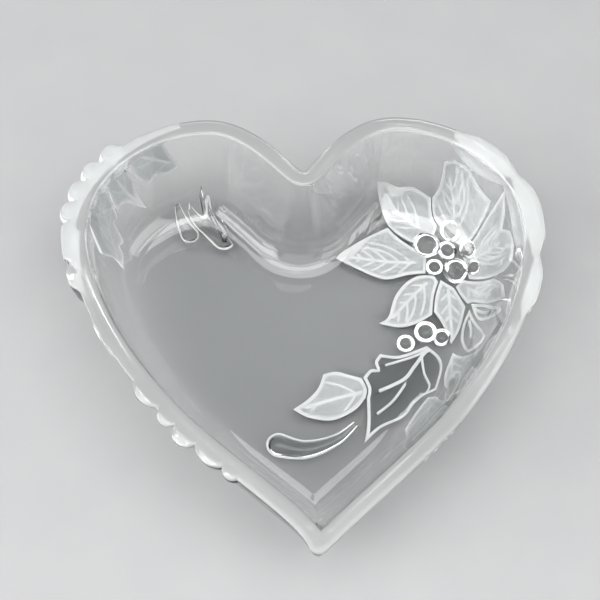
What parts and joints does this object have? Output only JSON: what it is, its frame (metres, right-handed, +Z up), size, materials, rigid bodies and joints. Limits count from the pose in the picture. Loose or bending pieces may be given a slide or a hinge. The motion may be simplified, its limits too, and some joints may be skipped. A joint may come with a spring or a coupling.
{
  "type": "heart-shaped glass dish",
  "caption": "Open heart-shaped pressed-glass dish with a thick flat rim, curved wall and satin leaf-and-berry relief on its outer face.",
  "frame": {"origin": "middle of the whole object's box, at the plane the dish stands on", "axes": "+Z up out of the open top; -Y towards the pointed tip of the heart; +X towards the large flower"},
  "size_m": [0.1548, 0.1488, 0.042],
  "materials": {
    "clear_glass": "polished clear pressed glass",
    "satin_glass": "acid-frosted satin glass"
  },
  "bodies": {
    "root": {"bowl": "clear_glass", "bud_leaf_long": "clear_glass", "bud_leaf_short": "clear_glass", "comma_scroll": "clear_glass", "drop_long": "clear_glass", "drop_short": "clear_glass", "edge_bead_1": "clear_glass", "edge_bead_2": "clear_glass", "edge_bead_3": "clear_glass", "edge_bead_4": "clear_glass", "edge_bead_5": "clear_glass", "flower_berry_1": "clear_glass", "flower_berry_2": "clear_glass", "flower_berry_3": "clear_glass", "flower_berry_4": "clear_glass", "flower_berry_5": "clear_glass", "flower_berry_6": "clear_glass", "flower_berry_7": "clear_glass", "holly_berry_1": "clear_glass", "holly_berry_2": "clear_glass", "holly_berry_3": "clear_glass", "holly_leaf_blade": "clear_glass", "holly_leaf_tip": "satin_glass", "petal_bottom": "satin_glass", "petal_left": "satin_glass", "petal_lower_left": "satin_glass", "petal_lower_right": "satin_glass", "petal_right": "satin_glass", "petal_top": "satin_glass", "petal_upper_left": "satin_glass", "rim_leaf_lower": "satin_glass", "rim_leaf_middle": "satin_glass", "rim_leaf_upper": "satin_glass", "side_berry_1": "satin_glass", "side_berry_2": "satin_glass", "side_berry_3": "satin_glass", "side_berry_4": "satin_glass", "side_block_lower": "clear_glass", "side_block_upper": "satin_glass", "side_leaf_lower": "satin_glass", "side_leaf_middle": "satin_glass", "side_leaf_upper": "satin_glass", "wall_leaf_lower": "satin_glass", "wall_leaf_upper": "satin_glass"}
  },
  "joints": []
}
